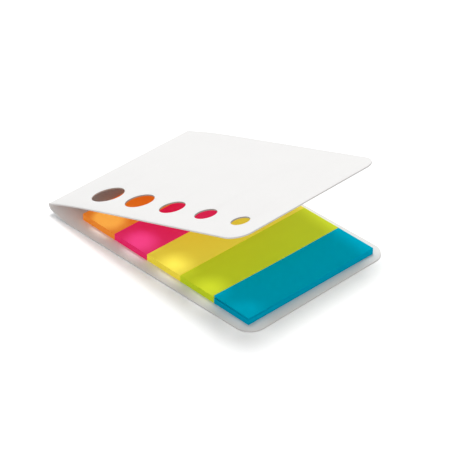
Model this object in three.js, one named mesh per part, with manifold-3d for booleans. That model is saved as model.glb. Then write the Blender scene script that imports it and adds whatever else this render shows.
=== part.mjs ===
// Sticky index tabs in a folded card cover, standing half open.
// One strip of white card makes the base, the spine and the cover. Five pads of narrow
// paper tabs are glued side by side on the base, with their long sides along the fold.
// Millimetres, +Z up, +X from the fold to the free edges, +Y from the front to the back.
import * as THREE from 'three';
import { mergeVertices } from 'three/addons/utils/BufferGeometryUtils.js';
import Module from 'manifold-3d';

const wasm = await Module();
wasm.setup();

const degrees = Math.PI / 180;

// The pads of tabs: each is a stack of paper strips.
const padWidth = 12.65;
const padGap = 0.05;
const padLength = 44.7;
const sheetThickness = 0.095;
const sheetsPerPad = 20;
const glueFilm = 0.05;
// How far the sheets lie off the square of their stack, and how that runs up the stack.
const sheetScatter = 0.07;
const scatterPerSheet = 2.4;
const scatterPerEnd = 1.3;

const padColours = [
  ['orange_tabs', 0xfaa546],
  ['pink_tabs', 0xe8387f],
  ['yellow_tabs', 0xf3e04f],
  ['green_tabs', 0xc0cc2a],
  ['blue_tabs', 0x0a9dbb],
];
const padPitch = padWidth + padGap;
const blockWidth = padColours.length * padPitch - padGap;

// The top tabs of the pad at the free edge have sprung up at their front end.
const liftedSheets = 4;
const liftHeight = 0.5;
const liftLength = 30;

// The bare margins of the base round the block of pads, which lies a little askew.
const foldMargin = 8.15;
const edgeMargin = 3.4;
const frontMargin = 4.1;
const backMargin = 2.2;
const padsTurn = -1.15 * degrees;

// The card: the base is as large as what it carries, and the cover is as large as the base.
const panelLength = foldMargin + blockWidth + edgeMargin;
const panelWidth = frontMargin + padLength + backMargin;
const cardThickness = 0.4;
const cornerRadius = 5;

// The base curls up beside the pads, bends round a soft lower crease,
// and folds back into the cover at a sharp upper crease.
const curlClearance = 0.1;
const curlLength = foldMargin - curlClearance;
const curlTurn = 20 * degrees;
const lowerCreaseRadius = 1.2;
const spineLean = 62 * degrees;
const spineStraight = 0.6;
const upperCreaseRadius = 0.4;

// The cover leaves the crease a little steeper than it reaches its free edge.
const coverAngle = 18.1 * degrees;
const coverBow = 4.4 * degrees;
const bowLength = 18;

// Five round windows run along the front of the cover, each smaller than the last.
const windowDiameters = [9, 8, 7, 6, 5];
const windowPitch = 13;
const windowFromFront = 8.9;
const lastWindowFromEdge = 8.4;

// How finely the round stretches are cut.
const creaseFacets = 6;
const curlFacets = 8;
const bowFacets = 8;
const cornerFacets = 10;
const windowFacets = 40;

// Corners of a mesh that lie closer than this are one corner.
const weldTolerance = 1e-4;
// What a cutter reaches past the card, so that it cuts clean through.
const cutterReach = 2;
// The blank is this much longer than its panels, and the rounded ends are trimmed from it.
const trimAllowance = 1;

const card = new THREE.MeshStandardMaterial({ color: 0xf4f2f0, roughness: 0.62, metalness: 0 });

// The strip as stretches of one even bend each, from the base's end round to the cover's.
const bends = [
  { length: panelLength + trimAllowance - curlLength, turn: 0, facets: 1 },
  { length: curlLength, turn: curlTurn, facets: curlFacets },
  { length: lowerCreaseRadius * (spineLean - curlTurn), turn: spineLean - curlTurn, facets: creaseFacets },
  { length: spineStraight, turn: 0, facets: 1 },
];
const foldTurn = Math.PI - spineLean - coverAngle - coverBow;
bends.push(
  { length: upperCreaseRadius * foldTurn, turn: foldTurn, facets: 2 * creaseFacets },
  { length: bowLength, turn: coverBow, facets: bowFacets },
  { length: panelLength + trimAllowance - bowLength, turn: 0, facets: 1 },
);
const stripLength = bends.reduce((sum, bend) => sum + bend.length, 0);

// Follows the strip from the base's end and gives the middle of its thickness there,
// with the direction it runs in. Each stretch is crossed by the chord of its arc.
function walk(distance) {
  let x = panelLength + trimAllowance;
  let z = cardThickness / 2;
  let heading = Math.PI;
  for (const bend of bends) {
    const part = Math.min(distance, bend.length);
    const half = (bend.turn * part) / bend.length / 2;
    const chord = half > 0 ? (part * Math.sin(half)) / half : part;
    x += chord * Math.cos(heading - half);
    z += chord * Math.sin(heading - half);
    heading -= 2 * half;
    distance -= part;
    if (distance <= 0) break;
  }
  return { x, z, heading };
}

// The side view of the strip, with its thickness: out along one face and back along the other.
function stripOutline() {
  const stations = [0];
  for (const bend of bends) {
    const start = stations[stations.length - 1];
    for (let i = 1; i <= bend.facets; i += 1) {
      stations.push(start + (bend.length * i) / bend.facets);
    }
  }
  const face = (side) => stations.map((distance) => {
    const { x, z, heading } = walk(distance);
    const offset = (side * cardThickness) / 2;
    return new THREE.Vector2(x - offset * Math.sin(heading), z + offset * Math.cos(heading));
  });
  return new THREE.Shape([...face(1), ...face(-1).reverse()]);
}

// Turns a geometry into a solid that can be cut, and a solid back into a geometry.
function toSolid(geometry) {
  const bare = geometry.clone();
  bare.deleteAttribute('normal');
  bare.deleteAttribute('uv');
  const merged = mergeVertices(bare, weldTolerance);
  return new wasm.Manifold(new wasm.Mesh({
    numProp: 3,
    vertProperties: new Float32Array(merged.attributes.position.array),
    triVerts: new Uint32Array(merged.index.array),
  }));
}

function toGeometry(solid) {
  const mesh = solid.getMesh();
  const geometry = new THREE.BufferGeometry();
  geometry.setAttribute('position', new THREE.BufferAttribute(mesh.vertProperties, 3));
  geometry.setIndex(new THREE.BufferAttribute(mesh.triVerts, 1));
  geometry.computeVertexNormals();
  return geometry;
}

// Stands a cutter on the card: its own Z becomes the card's normal, its X runs along the card.
function placeOnCard(geometry, distance, y) {
  const { x, z, heading } = walk(distance);
  return geometry.rotateY(-heading).translate(x, y, z);
}

// What is trimmed from a panel's end to leave it cut to length with two round corners.
function endTrimmer() {
  const r = cornerRadius;
  const far = trimAllowance + cutterReach;
  const outline = new THREE.Shape();
  outline.moveTo(-r, -cutterReach);
  outline.lineTo(far, -cutterReach);
  outline.lineTo(far, panelWidth + cutterReach);
  outline.lineTo(-r, panelWidth + cutterReach);
  outline.lineTo(-r, panelWidth);
  outline.absarc(-r, panelWidth - r, r, Math.PI / 2, 0, true);
  outline.lineTo(0, r);
  outline.absarc(-r, r, r, 0, -Math.PI / 2, true);
  const depth = 2 * cutterReach;
  return new THREE.ExtrudeGeometry(outline, { depth, bevelEnabled: false, curveSegments: cornerFacets })
    .translate(0, 0, -cutterReach);
}

// The folded card, cut to length, with round corners and the five windows punched through it.
function foldedCard() {
  const strip = new THREE.ExtrudeGeometry(stripOutline(), { depth: panelWidth, bevelEnabled: false })
    .rotateX(Math.PI / 2)
    .translate(0, panelWidth, 0);
  let solid = toSolid(strip);
  solid = solid.subtract(toSolid(placeOnCard(endTrimmer().rotateY(Math.PI), trimAllowance, 0)));
  solid = solid.subtract(toSolid(placeOnCard(endTrimmer(), stripLength - trimAllowance, 0)));
  const lastWindow = stripLength - trimAllowance - lastWindowFromEdge;
  windowDiameters.forEach((diameter, i) => {
    const place = lastWindow - (windowDiameters.length - 1 - i) * windowPitch;
    const punch = new THREE.CylinderGeometry(diameter / 2, diameter / 2, 2 * cutterReach, windowFacets)
      .rotateX(Math.PI / 2);
    solid = solid.subtract(toSolid(placeOnCard(punch, place, windowFromFront)));
  });
  return new THREE.Mesh(toGeometry(solid), card);
}

// How far a sheet lies off the square of its stack, at its front or its back end.
function scatter(sheet, end) {
  return (sheetScatter / 2) * (1 + Math.sin(scatterPerSheet * sheet + scatterPerEnd * end));
}

// The side view of a stack of sheets. The sheets above the lower ones may be lifted
// at their front end, which opens a wedge under them as far as the lift reaches.
function stackOutline(lifted) {
  const lower = sheetsPerPad - lifted;
  const points = [];
  const rise = (sheet) => (sheet >= lower ? liftHeight : 0);
  const addFront = (first, last) => {
    for (let sheet = first; sheet < last; sheet += 1) {
      const y = scatter(sheet, 0);
      points.push(new THREE.Vector2(y, sheet * sheetThickness + rise(sheet)));
      points.push(new THREE.Vector2(y, (sheet + 1) * sheetThickness + rise(sheet)));
    }
  };
  addFront(0, lower);
  if (lifted > 0) {
    points.push(new THREE.Vector2(liftLength, lower * sheetThickness));
    addFront(lower, sheetsPerPad);
    points.push(new THREE.Vector2(liftLength, sheetsPerPad * sheetThickness));
  }
  for (let sheet = sheetsPerPad - 1; sheet >= 0; sheet -= 1) {
    const y = padLength - scatter(sheet, 1);
    points.push(new THREE.Vector2(y, (sheet + 1) * sheetThickness));
    points.push(new THREE.Vector2(y, sheet * sheetThickness));
  }
  return new THREE.Shape(points);
}

// A pad lies with its width along X and its length along Y.
function tabPad(lifted, colour) {
  const geometry = new THREE.ExtrudeGeometry(stackOutline(lifted), { depth: padWidth, bevelEnabled: false })
    .rotateX(Math.PI / 2)
    .rotateZ(Math.PI / 2);
  const paper = new THREE.MeshStandardMaterial({ color: colour, roughness: 0.7, metalness: 0 });
  return new THREE.Mesh(geometry, paper);
}

const model = new THREE.Group();

const cover = foldedCard();
cover.name = 'folded_card';
model.add(cover);

const pads = new THREE.Group();
padColours.forEach(([name, colour], i) => {
  const isLast = i === padColours.length - 1;
  const pad = tabPad(isLast ? liftedSheets : 0, colour);
  pad.name = name;
  pad.position.x = i * padPitch;
  pads.add(pad);
});
pads.rotation.z = padsTurn;
pads.position.set(foldMargin, frontMargin, cardThickness + glueFilm);
model.add(pads);

// The origin is the middle of the whole part's footprint, on the surface it lies on.
model.updateMatrixWorld(true);
const extent = new THREE.Box3().setFromObject(model);
const middle = extent.getCenter(new THREE.Vector3());
model.position.set(-middle.x, -middle.y, -extent.min.z);

export default model;
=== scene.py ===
"""Sticky index tabs: a folded card cover, half open over five pads of coloured paper tabs."""

import math
import random

import bmesh
import bpy
from mathutils import Matrix, Vector


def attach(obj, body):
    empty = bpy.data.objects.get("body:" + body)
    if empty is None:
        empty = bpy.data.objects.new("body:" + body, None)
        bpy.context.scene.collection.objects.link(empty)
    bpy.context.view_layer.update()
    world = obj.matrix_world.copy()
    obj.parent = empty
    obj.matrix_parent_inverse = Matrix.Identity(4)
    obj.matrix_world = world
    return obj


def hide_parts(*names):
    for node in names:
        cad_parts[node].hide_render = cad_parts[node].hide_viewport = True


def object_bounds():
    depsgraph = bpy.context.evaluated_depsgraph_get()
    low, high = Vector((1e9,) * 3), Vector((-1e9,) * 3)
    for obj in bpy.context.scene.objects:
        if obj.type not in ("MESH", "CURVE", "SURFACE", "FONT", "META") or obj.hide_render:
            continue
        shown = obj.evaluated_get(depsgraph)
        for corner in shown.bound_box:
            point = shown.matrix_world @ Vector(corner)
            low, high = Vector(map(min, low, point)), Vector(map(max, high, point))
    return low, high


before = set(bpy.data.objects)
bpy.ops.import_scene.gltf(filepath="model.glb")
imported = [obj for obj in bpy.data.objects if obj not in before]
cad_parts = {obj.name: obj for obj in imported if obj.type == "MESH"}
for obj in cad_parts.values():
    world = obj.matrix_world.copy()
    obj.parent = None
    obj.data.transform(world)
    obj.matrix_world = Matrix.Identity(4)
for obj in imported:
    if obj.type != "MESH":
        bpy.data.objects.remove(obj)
cad_low, cad_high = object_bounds()

bl_info = {
    "name": "Sticky Index Tabs",
    "version": (1, 0, 0),
    "blender": (4, 5, 0),
    "location": "View3D > Sidebar > Index Tabs",
    "description": "Builds a folded card cover with windows and pads of paper index tabs",
    "category": "Add Mesh",
}

BODY = "root"
PAD_NAMES = ("orange", "pink", "yellow", "green", "blue")
MM = 0.001
FLOOR_SIZE = 4.0
# The base's free edge, its front edge and its width, as the frame has them.
BASE_EDGE = cad_high.x
FRONT = cad_low.y
CARD_WIDTH = cad_high.y - cad_low.y

# How finely the round and the flat stretches are cut.
BEND_STEP = math.radians(3)
FLAT_STEP = 2.5 * MM
CORNER_SEGMENTS = 12
WINDOW_SEGMENTS = 72
RIM_SEGMENTS = 2
SHARP_ANGLE = math.radians(35)
SHEET_CUTS = 11
# Cuts that pass this close to a vertex go through it.
CUT_TOLERANCE = 0.0005 * MM

# How the lift of the sprung tabs grows towards their front end: 1 is a straight ramp.
LIFT_CURVE = 1.5
# How far a tab strays to either side, as a share of the gap between two pads.
STRAY = 0.4

# The finishes that the card's faces have.
COATED = 0
CUT = 1
PUNCHED = 2

# How large the grain of the card and of the tabs' paper is, in a finish.
CARD_CLOUD = 9 * MM
CARD_TOOTH = 0.22 * MM
CUT_FIBRES = 0.12 * MM
DYE_CLOUD = 4 * MM
PAPER_FIBRES = 0.16 * MM
# How much the dye's cloudiness, the fibres and the tab's own tone each count in a tab's colour.
CLOUD_SHARE = 0.4
FIBRE_SHARE = 0.3
TONE_SHARE = 0.3

# A Mix node's sockets share their names. These are the places of the ones that it uses for colours.
MIX_SHARE = 0
MIX_LOW = 6
MIX_HIGH = 7
MIX_RESULT = 2


def size_prop(name, description, default):
    """A length in metres that a user may change."""
    return bpy.props.FloatProperty(
        name=name, description=description, default=default, min=0.0, unit="LENGTH", precision=5
    )


def row_prop(name, description, default):
    """Five lengths, given in millimetres and stored in metres, one for each pad or window."""
    return bpy.props.FloatVectorProperty(
        name=name, description=description, default=[length * MM for length in default],
        size=5, unit="LENGTH", precision=5,
    )


def angle_prop(name, description, default):
    """An angle, given in degrees and stored in radians, that a user may change."""
    return bpy.props.FloatProperty(
        name=name, description=description, default=math.radians(default), unit="ROTATION"
    )


def number_prop(name, description, default, unit="NONE"):
    """A number from nothing up."""
    return bpy.props.FloatProperty(
        name=name, description=description, default=default, min=0.0, unit=unit
    )


def colour_prop(name, description, default):
    """A linear colour that a user may change."""
    return bpy.props.FloatVectorProperty(
        name=name, description=description, default=default,
        size=3, min=0.0, max=1.0, subtype="COLOR",
    )


class CardSizes(bpy.types.PropertyGroup):
    """The folded card: its panels, its bends, its windows and its colours."""

    panel_length: size_prop("Panel length", "Length of the base and of the cover", 75 * MM)
    thickness: size_prop("Thickness", "Thickness of the card", 0.4 * MM)
    corner_radius: size_prop("Corner radius", "Radius of the free corners", 5 * MM)
    curl_length: size_prop("Curl length", "How much of the base curls up to the spine", 8.05 * MM)
    curl_turn: angle_prop("Curl turn", "How far the curl turns up", 20)
    lower_radius: size_prop("Lower crease radius", "Radius of the soft lower crease", 1.2 * MM)
    spine_lean: angle_prop("Spine lean", "How steep the spine stands", 62)
    spine_straight: size_prop("Spine straight", "Flat part of the spine", 0.6 * MM)
    upper_radius: size_prop("Upper crease radius", "Radius of the sharp upper crease", 0.4 * MM)
    cover_angle: angle_prop("Cover angle", "Slope of the cover at its free edge", 18.1)
    cover_bow: angle_prop("Cover bow", "How much steeper the cover leaves the crease", 4.4)
    bow_length: size_prop("Bow length", "How far the bow of the cover reaches", 18 * MM)
    windows: row_prop("Windows", "Diameters of the windows from the fold on", (9, 8, 7, 6, 5))
    window_pitch: size_prop("Window pitch", "Distance between the windows", 13 * MM)
    window_from_front: size_prop("Window from front", "Windows' centres to the front edge", 8.9 * MM)
    last_window: size_prop("Last window", "Last window's centre to the free edge", 8.4 * MM)
    edge_break: size_prop("Edge break", "How far the cut edges are rounded", 0.04 * MM)
    colour: colour_prop("Card colour", "Colour of the coated face", (0.90, 0.892, 0.882))
    core_colour: colour_prop("Core colour", "Colour of the cut edge", (0.87, 0.85, 0.83))
    # The windows' rims are given a much darker colour than the outer cut edge.
    punched_colour: colour_prop("Punched colour", "Colour of the windows' rims", (0.48, 0.44, 0.41))
    # Painted shade: the fold colour darkens the inner face deep in the fold, fading out over the fold
    # reach and towards the front edge.
    fold_shade_colour: colour_prop("Fold colour", "Colour of the inner face in the fold", (0.62, 0.72, 0.74))
    fold_reach: size_prop("Fold reach", "How far from the fold that colour has faded", 12 * MM)
    fold_start: size_prop("Fold start", "How far from the front that colour is in full", 9 * MM)


class PadSizes(bpy.types.PropertyGroup):
    """The pads of paper tabs: their sizes, their places and their dyes."""

    sheets: bpy.props.IntProperty(name="Sheets", description="Tabs in each pad", default=20, min=2)
    lifted: bpy.props.IntProperty(
        name="Lifted", description="Tabs sprung up on the last pad", default=4, min=0
    )
    width: size_prop("Tab width", "Width of a tab", 12.65 * MM)
    gap: size_prop("Pad gap", "Gap between two pads", 0.05 * MM)
    length: size_prop("Tab length", "Length of a tab", 44.7 * MM)
    pitch: size_prop("Sheet pitch", "Height that one tab adds to its pad", 0.095 * MM)
    sheet: size_prop("Sheet thickness", "Thickness of one tab's paper", 0.088 * MM)
    glue: size_prop("Glue film", "Glue between the base and the pads", 0.05 * MM)
    scatter: size_prop("Scatter", "How far the tabs lie off the square of their pad", 0.07 * MM)
    edge_margin: size_prop("Edge margin", "Bare base past the last pad", 3.4 * MM)
    front_margin: size_prop("Front margin", "Bare base in front of the pads", 4.1 * MM)
    turn: angle_prop("Turn", "How far the block of pads is askew", -1.15)
    lift: size_prop("Lift", "How far the top tabs of the last pad have sprung up", 0.5 * MM)
    lift_length: size_prop("Lift length", "How far back the lift reaches", 30 * MM)
    lift_taper: number_prop("Lift taper", "Share of the lift that is lost across the pad", 0.6)
    shifts: row_prop("Shifts", "How far back each pad lies", (-0.1, -0.05, 0, 0, 0))
    sheen: bpy.props.FloatVectorProperty(
        name="Sheen", description="How strongly the paper of each pad mirrors light",
        default=(0.4, 0.6, 0.5, 0.3, 0.0), size=5, min=0.0,
    )
    orange: colour_prop("Orange", "Colour of the first pad", (0.45, 0.375, 0.042))
    pink: colour_prop("Pink", "Colour of the second pad", (0.42, 0.012, 0.21))
    yellow: colour_prop("Yellow", "Colour of the third pad", (0.84, 0.76, 0.075))
    green: colour_prop("Green", "Colour of the fourth pad", (0.80, 0.88, 0.02))
    blue: colour_prop("Blue", "Colour of the fifth pad", (0.0, 0.54, 0.79))
    # The glows are steady emission whatever the light: partly the dyes' fluorescence, partly painted
    # light that keeps the pads bright in the shade under the cover.
    orange_glow: colour_prop("Orange glow", "Light that the orange dye gives back", (0.46, 0.035, 0.0))
    pink_glow: colour_prop("Pink glow", "Light that the pink dye gives back", (0.43, 0.0, 0.01))
    yellow_glow: colour_prop("Yellow glow", "Light that the yellow dye gives back", (0.24, 0.17, 0.005))
    green_glow: colour_prop("Green glow", "Light that the green dye gives back", (0.02, 0.06, 0.0))
    blue_glow: colour_prop("Blue glow", "Light that the blue dye gives back", (0.0, 0.0, 0.0))


class StageSizes(bpy.types.PropertyGroup):
    """The floor, the lamps and the camera."""

    azimuth: angle_prop("Azimuth", "Camera's direction round the part", 45.63)
    elevation: angle_prop("Elevation", "Camera's height above the floor", 34.91)
    distance: size_prop("Distance", "Camera's distance from what it looks at", 656.26 * MM)
    aim_from_edge: size_prop("Aim from edge", "What it looks at, from the free edge", 39.26 * MM)
    aim_from_front: size_prop("Aim from front", "What it looks at, from the front edge", 29.70 * MM)
    lens: number_prop("Lens", "Focal length in millimetres", 198.3, unit="CAMERA")
    floor: colour_prop("Floor colour", "Colour that the floor gives back", (0.9, 0.9, 0.9))
    floor_tint: colour_prop("Floor tint", "Tint of the floor as the eye sees it", (0.985, 0.992, 1.0))
    floor_seen: number_prop("Floor seen", "How pale the floor looks, where 1 is white", 1.27)
    sky: number_prop("Sky", "Strength of the even light from all round", 0.36)
    lamp_power: number_prop("Lamp power", "Power of the soft lamp behind", 3.7, unit="POWER")
    lamp_size: size_prop("Lamp size", "Side of the soft lamp", 300 * MM)
    lamp_azimuth: angle_prop("Lamp azimuth", "Direction that the soft lamp stands in", 234)
    lamp_elevation: angle_prop("Lamp elevation", "Height of the soft lamp above the floor", 71)
    lamp_distance: size_prop("Lamp distance", "Distance of both lamps", 800 * MM)
    fill_power: number_prop("Fill power", "Power of the broad lamp in front", 0.8, unit="POWER")
    fill_size: size_prop("Fill size", "Side of the broad lamp", 700 * MM)
    fill_azimuth: angle_prop("Fill azimuth", "Direction that the broad lamp stands in", 45)
    fill_elevation: angle_prop("Fill elevation", "Height of the broad lamp above the floor", 45)


class Value:
    """A socket of a finish under construction. Arithmetic on it adds Math nodes."""

    def __init__(self, finish, socket):
        self.finish = finish
        self.socket = socket

    def math(self, operation, *terms):
        """The result of one Math node on these terms, in their order."""
        inputs = dict(enumerate(terms))
        return self.finish.node("ShaderNodeMath", {"operation": operation}, inputs)

    def __add__(self, other):
        return self.math("ADD", self, other)

    def __sub__(self, other):
        return self.math("SUBTRACT", self, other)

    def __mul__(self, other):
        return self.math("MULTIPLY", self, other)

    def __rsub__(self, other):
        return self.math("SUBTRACT", other, self)

    __radd__ = __add__
    __rmul__ = __mul__

    def at_least(self, other):
        """The larger of the two values."""
        return self.math("MAXIMUM", self, other)

    def between(self, low, high):
        """Stretches a value from nothing to one, so that it runs from low to high."""
        return (high - low) * self + low

    def rise(self, start, end):
        """A ramp: nothing up to the start, one from the end on. It falls if the end comes first."""
        ramp = (self - start) * (1 / (end - start))
        return self.finish.node("ShaderNodeClamp", {}, {"Value": ramp})


def shade(colour, factor=1.0):
    """A colour made darker or lighter, with its alpha."""
    return (*(min(1.0, channel * factor) for channel in colour), 1.0)


class Finish:
    """A material or a world under construction."""

    def __init__(self, owner):
        owner.use_nodes = True
        self.owner = owner
        self.nodes = owner.node_tree.nodes
        self.links = owner.node_tree.links

    def feed(self, socket, value):
        """Sets a socket to a plain value, or links it to a socket."""
        if isinstance(value, Value):
            self.links.new(value.socket, socket)
        else:
            socket.default_value = value

    def node(self, kind, settings=None, inputs=None, output=0):
        """Any node: its settings are set first, and then its sockets."""
        node = self.nodes.new(kind)
        for name, value in (settings or {}).items():
            setattr(node, name, value)
        for name, value in (inputs or {}).items():
            self.feed(node.inputs[name], value)
        return Value(self, node.outputs[output])

    def place(self):
        """The place in the piece's own coordinates, in metres."""
        return self.node("ShaderNodeTexCoord", output="Object")

    def along(self, axis):
        """How far along this axis the place is, in metres."""
        return self.node("ShaderNodeSeparateXYZ", {}, {"Vector": self.place()}, axis)

    def painted(self, name):
        """What the piece's faces carry under this name."""
        return self.node("ShaderNodeAttribute", {"attribute_name": name}, output="Fac")

    def noise(self, grain, detail, stretch=(1.0, 1.0, 1.0)):
        """Noise from nothing to one, whose grain is this long in metres."""
        mapped = self.node("ShaderNodeMapping", {}, {"Vector": self.place(), "Scale": stretch}, "Vector")
        inputs = {"Vector": mapped, "Scale": 1 / grain, "Detail": detail}
        return self.node("ShaderNodeTexNoise", {}, inputs, "Fac")

    def mix(self, share, low, high):
        """A colour between two colours."""
        inputs = {MIX_SHARE: share, MIX_LOW: low, MIX_HIGH: high}
        return self.node("ShaderNodeMix", {"data_type": "RGBA"}, inputs, MIX_RESULT)

    def varied(self, share, colour, darkest, palest):
        """A colour that runs from its darkest to its palest shade."""
        return self.mix(share, shade(colour, darkest), shade(colour, palest))

    def bump(self, height, distance, strength):
        """A normal from a height."""
        inputs = {"Height": height, "Distance": distance, "Strength": strength}
        return self.node("ShaderNodeBump", {}, inputs, "Normal")

    def principled(self, **inputs):
        """Sets the main shader's sockets. Underscores stand for the spaces in their names."""
        shader = self.nodes["Principled BSDF"]
        for name, value in inputs.items():
            self.feed(shader.inputs[name.replace("_", " ")], value)
        return self.owner


def painted_fold_shade(finish, card):
    """Where shade is painted in: one on the inner face deep in the fold, fading out towards the pads and
    the front edge.
    """
    fold, reach, start = cad_low.x, card.fold_reach, card.fold_start
    near = finish.along("X").rise(fold + reach, fold + reach / 2)
    behind = finish.along("Y").rise(FRONT + start / 2, FRONT + start)
    return near * behind * finish.painted("inner")


def coated_card(card):
    """Smooth white card with a faint cloudiness and the tooth of the paper under its coating, with shade
    painted into its inner face deep in the fold.
    """
    finish = Finish(bpy.data.materials.new("coated_card"))
    cloud = finish.noise(CARD_CLOUD, detail=3.0)
    tooth = finish.noise(CARD_TOOTH, detail=4.0)
    colour = finish.varied(cloud, card.colour, darkest=0.985, palest=1.012)
    return finish.principled(
        # Painted shade deep in the fold of the inner face.
        Base_Color=finish.mix(painted_fold_shade(finish, card), colour, shade(card.fold_shade_colour)),
        Roughness=tooth.between(0.5, 0.64),
        Normal=finish.bump(tooth, distance=0.01 * MM, strength=0.35),
    )


def cut_card(name, colour):
    """The fibrous core of the card, seen where it is cut or punched."""
    finish = Finish(bpy.data.materials.new(name))
    fibres = finish.noise(CUT_FIBRES, detail=4.0, stretch=(0.3, 0.3, 1.0))
    return finish.principled(
        Base_Color=finish.varied(fibres, colour, darkest=0.9, palest=1.08),
        Roughness=0.85,
        Normal=finish.bump(fibres, distance=0.02 * MM, strength=0.5),
    )


def tab_paper(name, colour, glow, sheen):
    """Matt paper with a daylight dye. Each tab of a pad has taken the dye a little differently. Its glow
    is given off whatever light falls: partly the dye's fluorescence, partly painted light that keeps the
    pads bright in the shade.
    """
    finish = Finish(bpy.data.materials.new(name))
    fibres = finish.noise(PAPER_FIBRES, detail=5.0)
    cloud = finish.noise(DYE_CLOUD, detail=3.0)
    tone = finish.painted("tone")
    share = CLOUD_SHARE * cloud + FIBRE_SHARE * fibres + TONE_SHARE * tone
    return finish.principled(
        Base_Color=finish.varied(share, colour, darkest=0.95, palest=1.05),
        # Partly fluorescence, partly painted light: the glow is given off whatever light falls.
        Emission_Color=shade(glow),
        Emission_Strength=1.0,
        Specular_IOR_Level=sheen,
        Roughness=fibres.between(0.62, 0.78),
        Normal=finish.bump(fibres, distance=0.012 * MM, strength=0.5),
    )


def bends(card):
    """The strip as (length, turn) stretches, from the base's free edge round to the cover's."""
    to_spine = card.spine_lean - card.curl_turn
    fold = math.pi - card.spine_lean - card.cover_angle - card.cover_bow
    return [
        (card.panel_length - card.curl_length, 0.0),
        (card.curl_length, card.curl_turn),
        (card.lower_radius * to_spine, to_spine),
        (card.spine_straight, 0.0),
        (card.upper_radius * fold, fold),
        (card.bow_length, card.cover_bow),
        (card.panel_length - card.bow_length, 0.0),
    ]


def walk(card, distance):
    """The middle of the card's thickness that far along the strip, and where it heads there."""
    x = BASE_EDGE
    z = card.thickness / 2
    heading = math.pi
    for length, turn in bends(card):
        part = min(distance, length)
        half = turn * part / length / 2
        chord = part * math.sin(half) / half if half else part
        x += chord * math.cos(heading - half)
        z += chord * math.sin(heading - half)
        heading -= 2 * half
        distance -= part
    return x, z, heading


def stations(card):
    """Where the blank is cut across, so that it can bend there."""
    start = 0.0
    for length, turn in bends(card):
        steps = math.ceil(max(turn / BEND_STEP, length / FLAT_STEP))
        yield from (start + length * step / steps for step in range(1, steps + 1))
        start += length


def card_blank(card, length):
    """The flat blank with its windows: X runs along the strip, Z out of the outer face."""
    blank = bmesh.new()
    # A square with sides of one and a corner at the origin is scaled to the blank's size.
    corners = bmesh.ops.create_grid(blank, x_segments=1, y_segments=1, size=0.5)["verts"]
    bmesh.ops.translate(blank, verts=corners, vec=(0.5, 0.5, 0))
    bmesh.ops.scale(blank, verts=corners, vec=(length, CARD_WIDTH, 1))
    bmesh.ops.bevel(
        blank, geom=corners, offset=card.corner_radius, segments=CORNER_SEGMENTS,
        profile=0.5, affect="VERTICES", material=-1,
    )
    bmesh.ops.delete(blank, geom=blank.faces[:], context="FACES_ONLY")
    for index, diameter in enumerate(card.windows):
        along = length - card.last_window - (len(card.windows) - 1 - index) * card.window_pitch
        place = Matrix.Translation((along, card.window_from_front, 0))
        bmesh.ops.create_circle(blank, segments=WINDOW_SEGMENTS, radius=diameter / 2, matrix=place)
    bmesh.ops.triangle_fill(blank, use_beauty=True, edges=blank.edges[:], normal=(0, 0, 1))
    bmesh.ops.translate(blank, verts=blank.verts[:], vec=(0, FRONT, -card.thickness / 2))
    raised = bmesh.ops.extrude_face_region(blank, geom=blank.faces[:])["geom"]
    raised = [part for part in raised if isinstance(part, bmesh.types.BMVert)]
    bmesh.ops.translate(blank, verts=raised, vec=(0, 0, card.thickness))
    bmesh.ops.recalc_face_normals(blank, faces=blank.faces[:])
    return blank


def cut_finish(card, length, place):
    """The finish of a cut at this place: a window's rim, or the outline of the blank."""
    from_ends = min(place.x, length - place.x)
    from_sides = min(place.y - FRONT, FRONT + CARD_WIDTH - place.y)
    return PUNCHED if from_ends > card.corner_radius and from_sides > card.edge_break else CUT


def break_edges(card, blank, length):
    """Marks the inner face, gives the cuts their own finishes and rounds their rims a little."""
    inner = blank.faces.layers.float.new("inner")
    for face in blank.faces:
        facing = round(face.normal.z)
        face[inner] = float(facing < 0)
        face.material_index = COATED if facing else cut_finish(card, length, face.calc_center_median())
    rims = [
        edge for edge in blank.edges
        if len({face.material_index for face in edge.link_faces}) > 1
    ]
    bmesh.ops.bevel(
        blank, geom=rims, offset=card.edge_break, segments=RIM_SEGMENTS,
        profile=0.5, affect="EDGES", material=-1,
    )


def fold_blank(card, blank):
    """Cuts the blank across wherever it bends, and bends it to shape."""
    for place in stations(card):
        bmesh.ops.bisect_plane(
            blank, geom=blank.verts[:] + blank.edges[:] + blank.faces[:],
            dist=CUT_TOLERANCE, plane_co=(place, 0, 0), plane_no=(1, 0, 0),
        )
    for vert in blank.verts:
        x, z, heading = walk(card, vert.co.x)
        out = vert.co.z
        vert.co.x = x - out * math.sin(heading)
        vert.co.z = z + out * math.cos(heading)


def finished_piece(name, shape, materials, nodes):
    """Makes a bmesh a smooth-shaded object that stands for the given nodes."""
    mesh = bpy.data.meshes.new(name)
    shape.to_mesh(mesh)
    shape.free()
    mesh.shade_smooth()
    mesh.set_sharp_from_angle(angle=SHARP_ANGLE)
    for material in materials:
        mesh.materials.append(material)
    piece = bpy.data.objects.new(name, mesh)
    bpy.context.scene.collection.objects.link(piece)
    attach(piece, BODY)
    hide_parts(*nodes)
    return piece


def tab_sheet(pad, pads, level, shift, tone):
    """One tab of a pad: a thin slip of paper, a little off the square of its pad."""
    middle = Vector((pads.width / 2, pads.length / 2, level * pads.pitch + pads.sheet / 2))
    slip = Matrix.LocRotScale(middle + shift, None, (pads.width, pads.length, pads.sheet))
    verts = bmesh.ops.create_cube(pad, size=1, matrix=slip)["verts"]
    tones = pad.faces.layers.float["tone"]
    for face in {face for vert in verts for face in vert.link_faces}:
        face[tones] = tone


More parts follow.
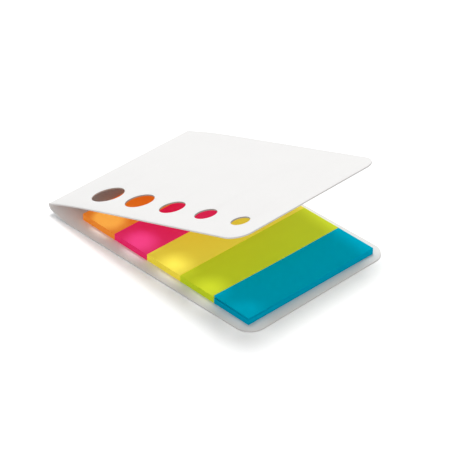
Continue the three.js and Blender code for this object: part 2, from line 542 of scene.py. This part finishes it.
def spring_up(pad, pads):
    """Bends the top tabs of a pad up at their front end, most at one corner."""
    slit = (pads.sheets - pads.lifted) * pads.pitch - (pads.pitch - pads.sheet) / 2
    for cut in range(1, SHEET_CUTS + 1):
        bmesh.ops.bisect_plane(
            pad, geom=pad.verts[:] + pad.edges[:] + pad.faces[:], dist=CUT_TOLERANCE,
            plane_co=(0, pads.lift_length * cut / SHEET_CUTS, 0), plane_no=(0, 1, 0),
        )
    for vert in pad.verts:
        if vert.co.z > slit:
            back = min(1.0, max(0.0, 1 - vert.co.y / pads.lift_length))
            taper = 1 - pads.lift_taper * vert.co.x / pads.width
            vert.co.z += pads.lift * taper * back ** LIFT_CURVE


def pad_place(pads, card, index):
    """Where a pad lies: beside its neighbours in the block, which is glued to the base askew."""
    pitch = pads.width + pads.gap
    block_width = len(PAD_NAMES) * pitch - pads.gap
    corner = (
        BASE_EDGE - pads.edge_margin - block_width,
        FRONT + pads.front_margin,
        card.thickness + pads.glue,
    )
    block = Matrix.Translation(corner) @ Matrix.Rotation(pads.turn, 4, "Z")
    return block @ Matrix.Translation((index * pitch, 0, 0))


def tab_pad(pads, card, index, name):
    """One pad: a stack of tabs in its own dye. The top tabs of the last pad have sprung up."""
    draw = random.Random(index)
    pad = bmesh.new()
    pad.faces.layers.float.new("tone")
    for level in range(pads.sheets):
        across = draw.uniform(-STRAY, STRAY) * pads.gap
        back = draw.uniform(0, 1) * pads.scatter + pads.shifts[index]
        tab_sheet(pad, pads, level, Vector((across, back, 0)), draw.uniform(0, 1))
    if name == PAD_NAMES[-1]:
        spring_up(pad, pads)
    bmesh.ops.transform(pad, matrix=pad_place(pads, card, index), verts=pad.verts[:])
    colour = getattr(pads, name)
    glow = getattr(pads, name + "_glow")
    paper = tab_paper(name + "_paper", colour, glow, pads.sheen[index])
    return finished_piece(name + "_pad", pad, [paper], [name + "_tabs"])


class INDEXTABS_OT_card(bpy.types.Operator):
    """Cuts the card's blank with its windows and folds it"""

    bl_idname = "index_tabs.card"
    bl_label = "Folded card"

    def execute(self, context):
        card = context.scene.index_tabs_card
        length = sum(stretch for stretch, _ in bends(card))
        blank = card_blank(card, length)
        break_edges(card, blank, length)
        fold_blank(card, blank)
        # In the order of COATED, CUT and PUNCHED.
        materials = [
            coated_card(card),
            cut_card("cut_card", card.core_colour),
            cut_card("punched_card", card.punched_colour),
        ]
        finished_piece("card_cover", blank, materials, ["folded_card"])
        return {"FINISHED"}


class INDEXTABS_OT_pads(bpy.types.Operator):
    """Stacks the five pads of paper tabs on the base"""

    bl_idname = "index_tabs.pads"
    bl_label = "Pads of tabs"

    def execute(self, context):
        for index, name in enumerate(PAD_NAMES):
            tab_pad(context.scene.index_tabs_pads, context.scene.index_tabs_card, index, name)
        return {"FINISHED"}


def seen_directly(finish):
    """One where the eye, a reflection or a clear material looks at the surface, else nothing."""
    rays = ("Is Camera Ray", "Is Glossy Ray", "Is Transmission Ray")
    eye, mirrored, through = (finish.node("ShaderNodeLightPath", output=ray) for ray in rays)
    return eye.at_least(mirrored).at_least(through)


def pale_floor(stage):
    """A floor that looks white where it is lit, and keeps the part's shadow."""
    finish = Finish(bpy.data.materials.new("pale_floor"))
    seen_colour = (*(channel * stage.floor_seen for channel in stage.floor_tint), 1.0)
    return finish.principled(
        Base_Color=finish.mix(seen_directly(finish), shade(stage.floor), seen_colour),
        Roughness=1.0,
        Specular_IOR_Level=0.0,
    )


def white_surroundings(stage):
    """Even light from all round, seen as plain white."""
    world = bpy.data.worlds.new("surroundings")
    finish = Finish(world)
    background = finish.nodes["Background"]
    finish.feed(background.inputs["Color"], (1, 1, 1, 1))
    finish.feed(background.inputs["Strength"], seen_directly(finish).between(stage.sky, 1))
    bpy.context.scene.world = world


def direction(azimuth, elevation):
    """The direction to something that stands at this azimuth and elevation."""
    flat = math.cos(elevation)
    return Vector((math.sin(azimuth) * flat, -math.cos(azimuth) * flat, math.sin(elevation)))


def aim_from(piece, towards, distance, aim):
    """Puts a lamp or the camera this far from the aim, looking at it."""
    piece.location = aim + towards * distance
    piece.rotation_euler = (-towards).to_track_quat("-Z", "Y").to_euler()
    bpy.context.scene.collection.objects.link(piece)


def set_floor(stage):
    """Lays the floor under the part."""
    bpy.ops.mesh.primitive_plane_add(size=FLOOR_SIZE)
    floor = bpy.context.object
    floor.name = "floor"
    floor.data.materials.append(pale_floor(stage))


def set_lamp(stage, name, aim):
    """Hangs the lamp of this name: the soft lamp behind the part, or the broad one in front."""
    lamp = bpy.data.lights.new("soft_" + name, "AREA")
    lamp.size = getattr(stage, name + "_size")
    lamp.energy = getattr(stage, name + "_power")
    towards = direction(getattr(stage, name + "_azimuth"), getattr(stage, name + "_elevation"))
    aim_from(bpy.data.objects.new("soft_" + name, lamp), towards, stage.lamp_distance, aim)


def set_camera(stage, aim):
    """Puts the camera at the photograph's viewing angle."""
    lens = bpy.data.cameras.new("camera")
    lens.lens = stage.lens
    camera = bpy.data.objects.new("camera", lens)
    aim_from(camera, direction(stage.azimuth, stage.elevation), stage.distance, aim)
    bpy.context.scene.camera = camera


class INDEXTABS_OT_stage(bpy.types.Operator):
    """Sets the floor, the light and the camera"""

    bl_idname = "index_tabs.stage"
    bl_label = "Stage"

    def execute(self, context):
        stage = context.scene.index_tabs_stage
        aim = Vector((BASE_EDGE - stage.aim_from_edge, FRONT + stage.aim_from_front, 0))
        set_floor(stage)
        white_surroundings(stage)
        set_lamp(stage, "lamp", aim)
        set_lamp(stage, "fill", aim)
        set_camera(stage, aim)
        context.scene.view_settings.view_transform = "Standard"
        return {"FINISHED"}


class INDEXTABS_PT_panel(bpy.types.Panel):
    """Lists the pieces"""

    bl_idname = "INDEXTABS_PT_panel"
    bl_label = "Index Tabs"
    bl_space_type = "VIEW_3D"
    bl_region_type = "UI"
    bl_category = "Index Tabs"

    def draw(self, context):
        for operator in OPERATORS:
            self.layout.operator(operator.bl_idname)


OPERATORS = (INDEXTABS_OT_card, INDEXTABS_OT_pads, INDEXTABS_OT_stage)
GROUPS = {
    "index_tabs_card": CardSizes,
    "index_tabs_pads": PadSizes,
    "index_tabs_stage": StageSizes,
}


def register():
    """Adds the sizes to the scene, and the operators and the panel to Blender."""
    for name, group in GROUPS.items():
        bpy.utils.register_class(group)
        setattr(bpy.types.Scene, name, bpy.props.PointerProperty(type=group))
    for operator in OPERATORS:
        bpy.utils.register_class(operator)
    bpy.utils.register_class(INDEXTABS_PT_panel)


def unregister():
    """Takes them out again, in the opposite order."""
    bpy.utils.unregister_class(INDEXTABS_PT_panel)
    for operator in reversed(OPERATORS):
        bpy.utils.unregister_class(operator)
    for name, group in reversed(GROUPS.items()):
        delattr(bpy.types.Scene, name)
        bpy.utils.unregister_class(group)


def main():
    """Sets the stage and makes the pieces."""
    register()
    bpy.ops.index_tabs.stage()
    bpy.ops.index_tabs.card()
    bpy.ops.index_tabs.pads()


if __name__ == "__main__":
    main()
